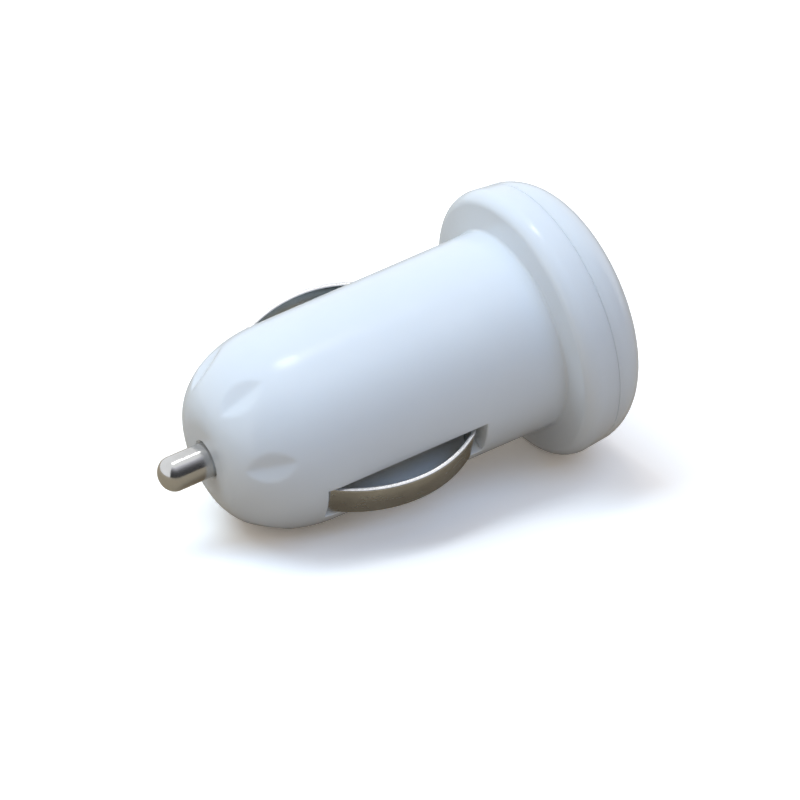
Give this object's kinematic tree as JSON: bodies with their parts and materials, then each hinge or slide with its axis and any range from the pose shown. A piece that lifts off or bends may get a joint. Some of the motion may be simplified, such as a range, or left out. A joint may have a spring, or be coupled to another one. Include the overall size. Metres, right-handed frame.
{
  "type": "car usb charger plug",
  "caption": "White car socket charger plug with a USB port in its round head, a sprung centre pin in its domed nose and sprung contact strips on its sides.",
  "frame": {"origin": "centre of the flat round face that holds the USB port, which the plug stands on", "axes": "+Z from the face along the barrel to the nose and centre pin, X through the side contact strips and along the wide side of the USB port"},
  "size_m": [0.0281, 0.028, 0.0473],
  "materials": {
    "white_plastic": "glossy moulded plastic",
    "cap_plastic": "glossy moulded plastic",
    "pin_nickel": "bright nickel plate",
    "spring_steel": "drawn wire",
    "seat_brass": "pressed brass",
    "strip_nickel": "nickel plated spring strip",
    "board_fibre": "green solder mask",
    "shell_steel": "tinned steel sheet",
    "tongue_plastic": "plain moulded plastic",
    "contact_gold": "gold plated",
    "lamp_clear": "clear epoxy",
    "lead_tin": "tinned wire",
    "ferrite": "sintered ferrite",
    "copper_wire": "enamelled copper",
    "capacitor_sleeve": "shrunk sleeve",
    "chip_black": "moulded epoxy",
    "fuse_body": "ceramic",
    "ceramic_body": "ceramic",
    "resistor_body": "glazed ceramic"
  },
  "bodies": {
    "charger": {"barrel_housing": "white_plastic", "head_cap": "cap_plastic", "pin_spring": "spring_steel", "spring_seat": "seat_brass", "circuit_board": "board_fibre", "usb_shell": "shell_steel", "usb_insulator": "tongue_plastic", "usb_contacts": "contact_gold", "status_lamp": "lamp_clear", "lamp_leads": "lead_tin", "inductor_core": "ferrite", "inductor_winding": "copper_wire", "input_capacitor": "capacitor_sleeve", "output_capacitor": "capacitor_sleeve", "capacitor_leads": "lead_tin", "converter_chip": "chip_black", "chip_leads": "lead_tin", "schottky_diode": "chip_black", "diode_leads": "lead_tin", "chip_fuse": "fuse_body", "ceramic_capacitors": "ceramic_body", "chip_resistors": "resistor_body"},
    "pin": {"centre_pin": "pin_nickel"},
    "right_strip": {"right_contact": "strip_nickel"},
    "left_strip": {"left_contact": "strip_nickel"}
  },
  "joints": [
    {"name": "pin_push", "type": "slide", "parent": "charger", "child": "pin", "axis": [0, 0, -1], "range_m": [0, 0.003], "stiffness_N_per_m": 400, "deforming": ["pin_spring"]},
    {"name": "right_strip_press", "type": "hinge", "parent": "charger", "child": "right_strip", "pos_m": [0.00745, 0, 0.03595], "axis": [0, 1, 0], "range_deg": [0, 10.5], "stiffness_Nm_per_rad": 0.23},
    {"name": "left_strip_press", "type": "hinge", "parent": "charger", "child": "left_strip", "pos_m": [-0.00745, 0, 0.03595], "axis": [0, -1, 0], "range_deg": [0, 10.5], "stiffness_Nm_per_rad": 0.23}
  ]
}
